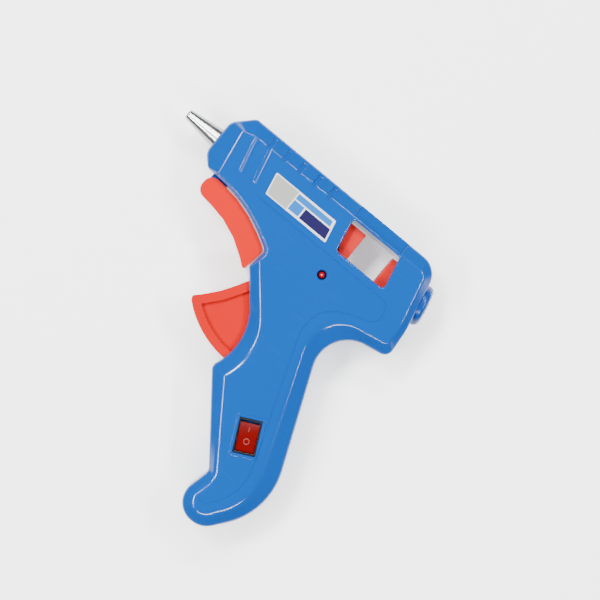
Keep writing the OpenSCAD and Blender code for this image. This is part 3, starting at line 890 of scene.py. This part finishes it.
@dataclass(frozen=True)
class GunPlan:
    """Places and sizes that several pieces share, in mm in the frame's own axes."""

    nose_x: float = -121.7
    top_y: float = 17.9
    half: float = 13.0
    wall: float = 2.2
    heel: Point2 = (5.64, -117.13)
    pivot: Point2 = (-54.4, -30.3)
    hinge: Point2 = (-108.6, -19.6)
    lamp: Point2 = (-45.4, -18.1)
    switch: Point2 = (-24.75, -95.7)
    switch_turn: float = 26.5
    gland: Point2 = (-9.44, -135.41)
    gland_dir: Point2 = (0.7713, -0.6365)
    rake: float = 12.6

    def edge(self) -> list[EdgeCorner]:
        """The body's corners, counter-clockwise from the lower end of the nose.

        Returns:
            Each corner at the seam and at the side face's crease.
        """
        hx, hy = self.heel
        lean = math.tan(math.radians(self.rake))
        nose, top = self.nose_x, self.top_y
        return [
            EdgeCorner((nose, -8.3, 6), (-111.3, -8.6, 2), 5.4, 2.0),
            EdgeCorner((-116.4, -13.6, 3), (-110.6, -12.6, 1.0), 4.4, 1.6),
            EdgeCorner((-92.5, -14.5, 70), (-92.3, -13.5, 71), 1.6, 1.4),
            EdgeCorner((-72, -26.1, 3), (-70.7, -25.4, 4.2), 2.2, 1.6),
            EdgeCorner((-73.3, -36.1, 2), (-71.1, -31.1, 1.2), 3.6, 2.4),
            EdgeCorner((-50.9, -62.8, 28), (-44.1, -63.3, 28), 4.6, 6.0),
            EdgeCorner((-57.9, -81.3, 4), (-50.3, -81.0, 3.0), 4.4, 4.6),
            EdgeCorner((hx - 34, hy - 2, 4), (-23.7, -119.9, 8.5), 3.8, 5.0),
            EdgeCorner((hx - 39.2, hy - 24.6, 10.4), (-27.8, -136.2, 5.5), 4.0, 5.0),
            EdgeCorner((hx - 20.3, hy - 24.6, 11), (-17.6, -136.2, 6), 4.0, 5.4),
            EdgeCorner((hx, hy, 34), (-3.75, -119.1, 27), 5.0, 7.0),
            EdgeCorner((-29.6, -34.1, 16), (-37.6, -30.6, 17), 4.6, 6.0),
            EdgeCorner((1.7, -27.9, 4.5), (-2.5, -23.6, 2.6), 3.8, 2.4),
            EdgeCorner((-2.8 + 13 * lean, -13, 40), (-3.6, -13, 36), 2.8, 2.2),
            EdgeCorner((-2.8 - top * lean, top, 10), (-9.3, 11.8, 4), 3.8, 2.2),
            EdgeCorner((nose + 8.7, top, 3), (-108.3, 11.0, 1.0), 4.6, 1.8),
            EdgeCorner((nose, top - 8.7, 6), (-114.4, 9.2, 1.0), 5.2, 2.0),
        ]

    def window(self) -> list[Corner]:
        """The side window's outline.

        Returns:
            Its sharp corners with radii.
        """
        return [(-47.2, -5.5, 1.8), (-19.8, -5.5, 1.8), (-23.3, 10.5, 1.2), (-50.4, 10.5, 1.2)]

    def label(self) -> list[Corner]:
        """The label's outline.

        Returns:
            Its sharp corners with radii.
        """
        return [(-88.3, -6, 0.6), (-53.5, -6, 0.6), (-55.9, 4.6, 0.6), (-90.5, 4.6, 0.6)]

    def screws(self) -> list[Point2]:
        """Where the case screws are.

        Returns:
            Each screw's place.
        """
        hx, hy = self.heel
        return [(-98, 12.3), (-13, 11.5), (-66, -19.5), (-9, -21), (-47.5, -82), (hx - 31.5, hy - 14)]

    def at_switch(self) -> Matrix:
        """The switch's own axes, in mm.

        Returns:
            The matrix from them.
        """
        turn = Matrix.Rotation(math.radians(self.switch_turn), 4, "Z")
        return Matrix.Translation((self.switch[0], self.switch[1], 0)) @ turn


PLAN = GunPlan()


# ---------------------------------------------------------------- shells


@dataclass
class Shells:
    """The two moulded halves of the body."""

    spacing: float = 0.9
    seam: float = 0.25
    notch_x: tuple[float, ...] = (-100.3, -91.5, -82.9, -74.0, -65.2)
    rim_w: float = 1.6
    rim_h: float = 0.3
    switch_half: Point2 = (5.2, 8.15)
    trigger_r: float = 45.8
    slot_half: float = 7.4
    slot_corner: Point2 = (-52.0, -38.0)
    mouth_r: float = 0.7
    lean: float = 13.5
    contour: tuple[Corner, ...] = (
        (-90.0, -9.3, 0.0), (-14.0, -9.3, 5.0), (-11.2, -19.4, 6.0), (-41.8, -29.8, 20.0),
        (-9.2, -117.5, 26.0), (-20.0, -131.5, 4.0), (-27.5, -131.0, 0.0),
    )

    def _dome(self, name: str, shrink: float, top: float, base: float, thin: float) -> bpy.types.Object:
        """Half a body: the outline at the seam, sloped in to a flat side face.

        Args:
            name: The object's name.
            shrink: How far the outline is moved inwards all round.
            top: Height of the side face.
            base: Height of the open side.
            thin: Taken off the edge's rise, for the inside of the wall.

        Returns:
            A closed solid.
        """
        low, high, values = matched(PLAN.edge(), shrink, self.spacing)
        seam = self.seam if shrink == 0 else 0.0
        rings = []
        runs = np.linalg.norm(high - low, axis=1)
        along = (high - low) / np.maximum(runs, 1e-6)[:, None]
        paths = []
        for run, (rise, soft) in zip(runs, values):
            rise = max(rise - thin, 0.7)
            slope = math.hypot(run, rise)
            lower = min(0.55 * rise, 0.45 * slope / max(math.tan(math.atan2(run, rise) / 2), 0.05))
            bend = math.tan(math.atan2(rise, run) / 2)
            upper = min(soft, 0.4 * slope / max(bend, 0.05))
            foot = [(seam, base, 0), (0, base + seam + 0.01, 0.01), (0, top - rise, lower)]
            head = [(run, top, upper), (run + upper * bend + 0.05, top, 0)]
            paths.append(open_path([*foot, *head], 7))
        path = np.array(paths)
        for k in range(path.shape[1]):
            at = low + along * path[:, k, 0][:, None]
            rings.append(np.column_stack([at, path[:, k, 1]]))
        obj = loft(name, rings)
        tidy_mesh(obj, 0.03)
        return obj

    def _window_tool(self) -> bpy.types.Object:
        """The tool that cuts the side window, with a rounded mouth.

        Returns:
            The tool.
        """
        top, r = PLAN.half, self.mouth_r
        turns = np.radians([0, 20, 40, 60, 80])
        flare = [(top - r + r * math.sin(a), -r * (1 - math.cos(a))) for a in turns]
        return prism("window_tool", PLAN.window(), [(-30.0, 0.0), *flare, (top + 1.0, -r - 0.05)])

    def _pocket(
        self, name: str, corners: list[Corner], floor: float, mouth: float, over: float
    ) -> bpy.types.Object:
        """A shallow pocket tool with softened walls.

        Args:
            name: The object's name.
            corners: The pocket's outline at its mouth.
            floor: Height of the pocket's floor.
            mouth: Height of its mouth.
            over: How much narrower the floor is all round.

        Returns:
            The tool.
        """
        mid = (floor + mouth) / 2
        wall = [(floor, over), (floor + 0.12, over * 0.45), (mid, over * 0.2), (mouth, 0.0)]
        return prism(name, corners, [*wall, (mouth + 4.0, 0.0)])

    def _trigger_slot(self) -> bpy.types.Object:
        """The tool for the opening in the grip's front that the trigger moves in.

        Returns:
            The tool.
        """
        px, py = PLAN.pivot
        dx, dy = self.slot_corner[0] - px, self.slot_corner[1] - py
        r = self.trigger_r
        start = math.atan2(dy, -math.sqrt(r**2 - dy**2))
        end = math.atan2(-math.sqrt(r**2 - dx**2), dx)
        arc = [(px + r * math.cos(t), py + r * math.sin(t)) for t in np.linspace(start, end, 30)]
        outline = np.array([self.slot_corner, *arc])
        return loft("slot_tool", [level(outline, -self.slot_half), level(outline, self.slot_half)])

    def _shared_tools(self) -> list[bpy.types.Object]:
        """The tools for the openings that both halves share.

        Returns:
            The tools.
        """
        nose = [(6.4, -1.0), (6.4, 0.0), (5.95, 0.2), (5.7, 0.7), (5.7, 6.0)]
        gland = [(4.65, -12.0), (4.65, -0.4), (5.1, 0.0), (5.1, 5.0)]
        return [
            self._window_tool(),
            self._trigger_slot(),
            turned("nose_tool", nose, placed((PLAN.nose_x, 0, 0), (1, 0, 0))),
            turned("inlet_tool", [(6.55, 0.0), (6.55, 18.0)], placed((-12, 0, 0), (1, 0, 0))),
            turned("gland_tool", gland, placed((*PLAN.gland, 0), (*PLAN.gland_dir, 0))),
        ]

    def _lug(self) -> bpy.types.Object:
        """The body's half of the stand's hinge lug.

        Returns:
            The lug.
        """
        hx, hy = PLAN.hinge
        left, right, low, r = hx - 4.2, hx + 4.2, hy - 4.2, 4.1
        corners = [(left, -12.5, 0.3), (left, low, r), (right, low, r), (right, -12.5, 0.3)]
        return prism("lug", corners, [(0.0, 0.0), (4.6, 0.0), (4.85, 0.1), (5.0, 0.35)])

    def _half(self, name: str) -> bpy.types.Object:
        """One hollow half with the shared openings cut.

        Args:
            name: The object's name.

        Returns:
            The half, on the front side.
        """
        top = PLAN.half
        body = self._dome(name, 0.0, top, 0.0, 0.0)
        hollow = self._dome("hollow", PLAN.wall, top - PLAN.wall, -1.0, PLAN.wall * 0.6)
        combine(body, [hollow, *self._shared_tools()], "DIFFERENCE")
        return body

    def _side_details(self) -> list[bpy.types.Object]:
        """Tools for the grooves, the notches, the contour line and the recess in the top chamfer.

        Returns:
            The tools.
        """
        top = PLAN.half
        lean = math.tan(math.radians(self.lean))
        tools = []
        for name, x, w, deep in (("groove_main", -97.4, 2.4, 0.42), ("groove_front", -105.6, 1.6, 0.16)):
            ends = ((-5.6, -w / 2), (-5.6, w / 2), (12.2, w / 2), (12.2, -w / 2))
            corners = [(x + side - (y - 2.3) * lean, y, w * 0.3) for y, side in ends]
            tools.append(self._pocket(name, corners, top - deep, top, w * 0.28))
        for i, x in enumerate(self.notch_x):
            tools.append(self._slanted_tool(f"notch_{i}", x - 1.3, x + 1.3, 9.6, 16.4, 0.5))
        tools.append(self._contour("contour", self.contour, 0.7, 0.16))
        tools.append(self._slanted_tool("window_recess", -51.5, -23.5, 11.6, 19.5, 0.45))
        return tools

    def _contour(self, name: str, path: tuple[Corner, ...], width: float, deep: float) -> bpy.types.Object:
        """A fine line cut along an open path in the side face.

        Args:
            name: The object's name.
            path: The path's corners with radii.
            width: The line's width.
            deep: Its depth.

        Returns:
            The tool.
        """
        line = open_path(path, 12)
        ahead = np.gradient(line, axis=0)
        ahead /= np.maximum(np.linalg.norm(ahead, axis=1), 1e-9)[:, None]
        aside = np.column_stack([-ahead[:, 1], ahead[:, 0]])
        top = PLAN.half
        rings = []
        for z, half in ((top - deep, width * 0.22), (top, width * 0.5), (top + 1.0, width * 0.5)):
            rings.append(level(np.vstack([line - aside * half, (line + aside * half)[::-1]]), z))
        return loft(name, rings)

    def _slanted_tool(
        self, name: str, x0: float, x1: float, y0: float, y1: float, deep: float
    ) -> bpy.types.Object:
        """A box tool that follows the slope of the top chamfer.

        Args:
            name: The object's name.
            x0: Where it starts along the barrel.
            x1: Where it ends.
            y0: Its lower side on the slope.
            y1: Its upper side.
            deep: How far it cuts in, square to the slope.

        Returns:
            The tool.
        """
        slope = math.atan2(4.6, 7.0)
        crest = PLAN.top_y - 7.0
        length = (y1 - y0) / math.cos(slope)
        corners = [(x0, 0, 0.8), (x1, 0, 0.8), (x1, length, 0.8), (x0, length, 0.8)]
        tool = self._pocket(name, corners, -deep, 0.0, 0.5)
        turn = Matrix.Rotation(-slope, 4, "X")
        base = Vector((0, y0, PLAN.half - (y0 - crest) * math.tan(slope))) * MM
        tool.data.transform(Matrix.Translation(base) @ turn)
        return tool

    def _switch_rim(self) -> bpy.types.Object:
        """The raised rim round the switch.

        Returns:
            The rim.
        """
        top = PLAN.half + self.rim_h
        stops = [(PLAN.half - 1.0, 0.0), (top - 0.28, 0.0), (top - 0.08, 0.1), (top, 0.3)]
        return self._at_switch("rim", self.rim_w, 1.2, stops)

    def _switch_tool(self) -> bpy.types.Object:
        """The tool for the switch's opening, through the rim.

        Returns:
            The tool.
        """
        top = PLAN.half + self.rim_h
        stops = [(PLAN.half - 4.5, 0.0), (top - 0.3, 0.0), (top - 0.1, -0.08), (top + 1.0, -0.3)]
        return self._at_switch("switch_tool", 0.06, 0.3, stops)

    def _at_switch(self, name: str, over: float, radius: float, stops: list[Point2]) -> bpy.types.Object:
        """A rounded block on the switch's axes.

        Args:
            name: The object's name.
            over: How far it reaches past the switch all round.
            radius: Its corners' radius.
            stops: (height, inset) of each ring.

        Returns:
            The block.
        """
        hx, hy = self.switch_half[0] + over, self.switch_half[1] + over
        corners = [(x, y, radius) for x, y in ((-hx, -hy), (hx, -hy), (hx, hy), (-hx, hy))]
        block = prism(name, corners, stops)
        block.data.transform(in_metres(PLAN.at_switch()))
        return block

    def build(self) -> list[bpy.types.Object]:
        """Builds, dresses and places both halves.

        Returns:
            The front and the back half.
        """
        top = PLAN.half
        front = self._half("shell_front")
        combine(front, [self._switch_rim()], "UNION")
        bore = [(2.0, -5.0), (2.0, -1.3), (2.3, -0.35), (2.45, -0.1), (2.7, 0.05), (2.7, 1.0)]
        lamp_tool = turned("lamp_tool", bore, placed((*PLAN.lamp, top)))
        label_tool = prism("label_tool", PLAN.label(), [(top - 0.3, -0.02), (top + 1.0, -0.02)])
        combine(front, [self._switch_tool(), lamp_tool, label_tool, *self._side_details()], "DIFFERENCE")
        back = self._half("shell_back")
        tools = self._side_details()
        sink = [(2.6, 8.0), (2.6, top - 0.5), (2.75, top - 0.15), (3.1, top + 0.05), (3.1, top + 1)]
        for i, (x, y) in enumerate(PLAN.screws()):
            tools.append(turned(f"screw_tool_{i}", sink, placed((x, y, 0))))
            tools.append(turned(f"shank_tool_{i}", [(1.45, 4.0), (1.45, 9.0)], placed((x, y, 0)), 24))
        combine(back, tools, "DIFFERENCE")
        for shell in (front, back):
            absorb(shell, [self._lug()])
            tidy_mesh(shell, 0.003)
        back.data.transform(Matrix.Scale(-1, 4, (0, 0, 1)))
        back.data.flip_normals()
        for shell, node in ((front, "front_shell"), (back, "back_shell")):
            smooth(shell, 30)
            shell.data.materials.clear()
            shell.data.materials.append(SHELL_BLUE.build())
            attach(shell, "body")
            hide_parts(node)
        return [front, back]


# ---------------------------------------------------------------- label and marks


@dataclass(frozen=True)
class Label:
    """The printed plate, with plain blocks of colour and no lettering."""

    top: float = 13.0
    skew: float = 2.3 / 10.6

    def _slanted(self, x: Point2, y: Point2, left: bool = False, right: bool = False) -> list[Corner]:
        """A block's outline, whose chosen sides lean as the plate's do.

        Args:
            x: Its left and right side, at the plate's lower edge.
            y: Its lower and upper side.
            left: Whether its left side leans.
            right: Whether its right side leans.

        Returns:
            Its sharp corners with radii.
        """
        low = PLAN.label()[0][1]
        (x0, x1), (y0, y1) = x, y
        a, b = self.skew * left, self.skew * right
        ends = ((x0, a, y0), (x1, b, y0), (x1, b, y1), (x0, a, y1))
        return [(edge - skew * (height - low), height, 0.1) for edge, skew, height in ends]

    def _layer(
        self, name: str, corners: list[Corner], low: float, high: float, finish: Finish
    ) -> bpy.types.Object:
        """One printed layer as a thin plate with a softened edge.

        Args:
            name: The object's name.
            corners: The plate's outline.
            low: Height of its back.
            high: Height of its face.
            finish: Its finish.

        Returns:
            The plate.
        """
        plate = prism(name, corners, [(low, 0.0), (high - 0.004, 0.0), (high, 0.03)])
        smooth(plate, 40)
        plate.data.materials.append(finish.build())
        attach(plate, "body")
        return plate

    def build(self) -> list[bpy.types.Object]:
        """Builds the plate and its blocks.

        Returns:
            The plate first, then the blocks.
        """
        base = self._layer("label_plate", PLAN.label(), self.top - 0.29, self.top, LABEL_RIM)
        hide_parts("label")
        blocks = (
            ("field", self._slanted((-87.7, -77.0), (-5.45, 4.05), left=True), 0.012, LABEL_FIELD),
            ("strip", self._slanted((-76.4, -54.9), (0.85, 3.6), right=True), 0.014, LABEL_CYAN),
            ("box", self._slanted((-76.4, -70.6), (-4.85, 0.2)), 0.014, LABEL_CYAN),
            ("block", self._slanted((-69.8, -54.3), (-5.0, 0.1), right=True), 0.014, LABEL_NAVY),
        )
        return [base] + [
            self._layer(f"label_{name}", corners, self.top, self.top + thick, finish)
            for name, corners, thick, finish in blocks
        ]


@dataclass(frozen=True)
class RockerMarks:
    """The plain on and off marks on the rocker."""

    axle_z: float = 9.0
    tilt: float = 8.0
    half_len: float = 6.7

    def _place(self, y: float) -> Matrix:
        """Finds a mark's place on the rocker's top face.

        Args:
            y: How far along the rocker it is.

        Returns:
            Its axes, in mm.
        """
        crown = math.atan2(0.8, self.half_len)
        slope = crown if y > 0 else -crown
        height = 2.5 + abs(y) * math.tan(crown)
        local = Matrix.Translation((0, y, height)) @ Matrix.Rotation(slope, 4, "X")
        tilt = Matrix.Translation((0, 0, self.axle_z)) @ Matrix.Rotation(math.radians(self.tilt), 4, "X")
        return PLAN.at_switch() @ tilt @ local

    def build(self) -> list[bpy.types.Object]:
        """Builds the bar and the ring.

        Returns:
            The two marks.
        """
        corners = [(-0.2, -1.15, 0.1), (0.2, -1.15, 0.1), (0.2, 1.15, 0.1), (-0.2, 1.15, 0.1)]
        bar = prism("mark_on", corners, [(-0.02, 0.0), (0.03, 0.0), (0.05, 0.05)])
        bar.data.transform(in_metres(self._place(3.7)))
        ring_profile = [(1.1, -0.02), (1.42, -0.02), (1.42, 0.03), (1.38, 0.05), (1.14, 0.05), (1.1, 0.03)]
        ring = self._ring("mark_off", ring_profile, self._place(-2.0))
        for mark in (bar, ring):
            smooth(mark, 40)
            mark.data.materials.append(ROCKER_MARK.build())
            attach(mark, "rocker")
        return [bar, ring]

    @staticmethod
    def _ring(name: str, profile: list[Point2], place: Matrix, sides: int = 40) -> bpy.types.Object:
        """A closed ring turned from a closed profile.

        Args:
            name: The object's name.
            profile: (radius, height) round the section.
            place: Where it goes, in mm.
            sides: Steps round the ring.

        Returns:
            The ring.
        """
        verts, faces, count = [], [], len(profile)
        for i in range(sides):
            a = 2 * math.pi * i / sides
            verts += [place @ Vector((r * math.cos(a), r * math.sin(a), h)) for r, h in profile]
        for i in range(sides):
            here, there = i * count, (i + 1) % sides * count
            for j in range(count):
                after = (j + 1) % count
                faces.append([here + j, there + j, there + after, here + after])
        ring = new_object(name, verts, faces)
        tidy_mesh(ring)
        return ring


# ---------------------------------------------------------------- carried-over pieces


@dataclass(frozen=True)
class Dress:
    """A carried-over node's finish and the rounding of its edges."""

    node: str
    finish: Finish
    edge: float = 0.0
    segments: int = 2

    def apply(self) -> None:
        """Gives the node its finish and its soft edges."""
        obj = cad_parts[self.node]
        material = self.finish.build()
        if obj.material_slots:
            for place in obj.material_slots:
                place.material = material
        else:
            obj.data.materials.append(material)
        soften_cad(obj, self.edge, self.segments)
        log.info("dressed %s", self.node)


@dataclass(frozen=True)
class Mechanism:
    """Every piece whose solid shape is already right."""

    dresses: tuple[Dress, ...] = (
        Dress("nozzle", NOZZLE_METAL, 0.12), Dress("heating_chamber", CHAMBER_METAL, 0.3),
        Dress("ptc_heater", HEATER_CERAMIC, 0.15), Dress("heater_film", FILM_AMBER, 0.05),
        Dress("heater_clip", SPRING_STEEL, 0.15), Dress("front_heat_ring", HEAT_RUBBER, 0.3),
        Dress("rear_heat_ring", HEAT_RUBBER, 0.3), Dress("stick_sleeve", SILICONE, 0.15),
        Dress("sleeve_clamp", SPRING_STEEL, 0.1), Dress("inlet_collar", COLLAR_BLUE, 0.25, 3),
        Dress("feeder_carriage", FEEDER_RED, 0.4, 3), Dress("stick_gripper", SPRING_STEEL, 0.08),
        Dress("gripper_pin", PIN_STEEL, 0.15), Dress("trigger", TRIGGER_CORAL, 0.7, 3),
        Dress("trigger_pin", PIN_STEEL, 0.2), Dress("return_spring", SPRING_STEEL),
        Dress("stand", STAND_CORAL, 1.5, 5), Dress("stand_pin", PIN_STEEL, 0.2),
        Dress("switch_housing", SWITCH_BLACK, 0.2), Dress("rocker", ROCKER_RED, 0.7, 4),
        Dress("switch_tabs", TAB_BRASS, 0.1), Dress("led", LAMP_RED), Dress("led_board", BOARD_GREEN, 0.08),
        Dress("led_resistor", RESISTOR_TAN, 0.2), Dress("case_screws", SCREW_STEEL, 0.12),
        Dress("cord_gland", GLAND_RUBBER, 0.3), Dress("cord_clamp", CLAMP_WHITE, 0.25),
        Dress("clamp_screws", SCREW_STEEL, 0.12), Dress("live_lead", LEAD_LIVE),
        Dress("neutral_lead", LEAD_NEUTRAL), Dress("crimp_cap", CLAMP_WHITE, 0.3),
    )

    def build(self) -> list[str]:
        """Dresses every node.

        Returns:
            The nodes' names.
        """
        for dress in self.dresses:
            dress.apply()
        return [dress.node for dress in self.dresses]


# ---------------------------------------------------------------- studio


@dataclass(frozen=True)
class Studio:
    """The pale bench, the soft lights and the camera."""

    centre: Point2 = (-45.8, -33.1)
    turn: float = 39.6
    height: float = 764.0
    lens: float = 100.0
    floor_z: float = -13.02
    reach: float = 3000.0

    def _floor(self) -> None:
        """Lays the pale bench top."""
        x, y = self.centre
        ways = ((-1, -1), (1, -1), (1, 1), (-1, 1))
        verts = [(x + self.reach * i, y + self.reach * j, self.floor_z) for i, j in ways]
        floor = new_object("bench", verts, [[0, 1, 2, 3]])
        paper = MouldedFinish(
            "bench_paper", (0.9, 0.9, 0.9), (0.85, 0.85, 0.85),
            roughness=0.7, mottle=0.04, scuffs=0.02, grain_mm=2.0, specular=0.1, glow=0.7,
        )
        floor.data.materials.append(paper.build())

    def _area(self, name: str, at: Point3, size: Point2, power: float) -> None:
        """A soft area light that faces the gun.

        Args:
            name: The light's name.
            at: Where it is, in mm from the gun's middle.
            size: Its two sides in mm.
            power: Its power in watts.
        """
        data = bpy.data.lights.new(name, "AREA")
        data.shape = "RECTANGLE"
        data.size, data.size_y = size[0] * MM, size[1] * MM
        data.energy = power
        light = bpy.data.objects.new(name, data)
        place = Vector((self.centre[0] + at[0], self.centre[1] + at[1], at[2])) * MM
        aim = Vector((self.centre[0], self.centre[1], 0)) * MM
        light.location = place
        light.rotation_euler = (aim - place).to_track_quat("-Z", "Y").to_euler()
        bpy.context.scene.collection.objects.link(light)

    def build(self) -> None:
        """Sets up the floor, the lights, the world and the camera."""
        self._floor()
        a = math.radians(self.turn)
        right, up = Vector((math.cos(a), math.sin(a))), Vector((-math.sin(a), math.cos(a)))

        def spot(r: float, u: float, z: float) -> Point3:
            """A place given along the picture's right and up.

            Args:
                r: How far to the right.
                u: How far up.
                z: Its height.

            Returns:
                Its place from the gun's middle.
            """
            flat = right * r + up * u
            return (flat.x, flat.y, z)

        self._area("key", spot(-420, 560, 1150), (420, 260), 23.0)
        self._area("left_strip", spot(-640, -40, 760), (720, 46), 12.0)
        self._area("right_strip", spot(640, 60, 760), (720, 46), 12.0)
        self._area("top_strip", spot(140, 660, 760), (720, 46), 11.0)
        self._area("low_strip", spot(-60, -680, 760), (720, 46), 10.0)
        world = bpy.data.worlds.new("studio")
        world.use_nodes = True
        air = world.node_tree.nodes["Background"].inputs
        air["Color"].default_value = (0.93, 0.95, 1.0, 1.0)
        air["Strength"].default_value = 0.16
        bpy.context.scene.world = world
        data = bpy.data.cameras.new("camera")
        data.lens = self.lens
        data.sensor_width = 36.0
        data.clip_start, data.clip_end = 0.01, 10.0
        camera = bpy.data.objects.new("camera", data)
        camera.location = Vector((self.centre[0], self.centre[1], self.height)) * MM
        camera.rotation_euler = (0.0, 0.0, a)
        bpy.context.scene.collection.objects.link(camera)
        bpy.context.scene.camera = camera


def main() -> None:
    """Builds the gun's sub-assemblies in order and reports each piece."""
    logging.basicConfig(level=logging.INFO, format="%(name)s %(relativeCreated)d: %(message)s")
    Studio().build()
    for shell in Shells().build():
        log.info("built %s, %d faces", shell.name, len(shell.data.polygons))
    for part in Label().build():
        log.info("built %s", part.name)
    for mark in RockerMarks().build():
        log.info("built %s", mark.name)
    log.info("dressed %d nodes", len(Mechanism().build()))


if __name__ == "__main__":
    main()
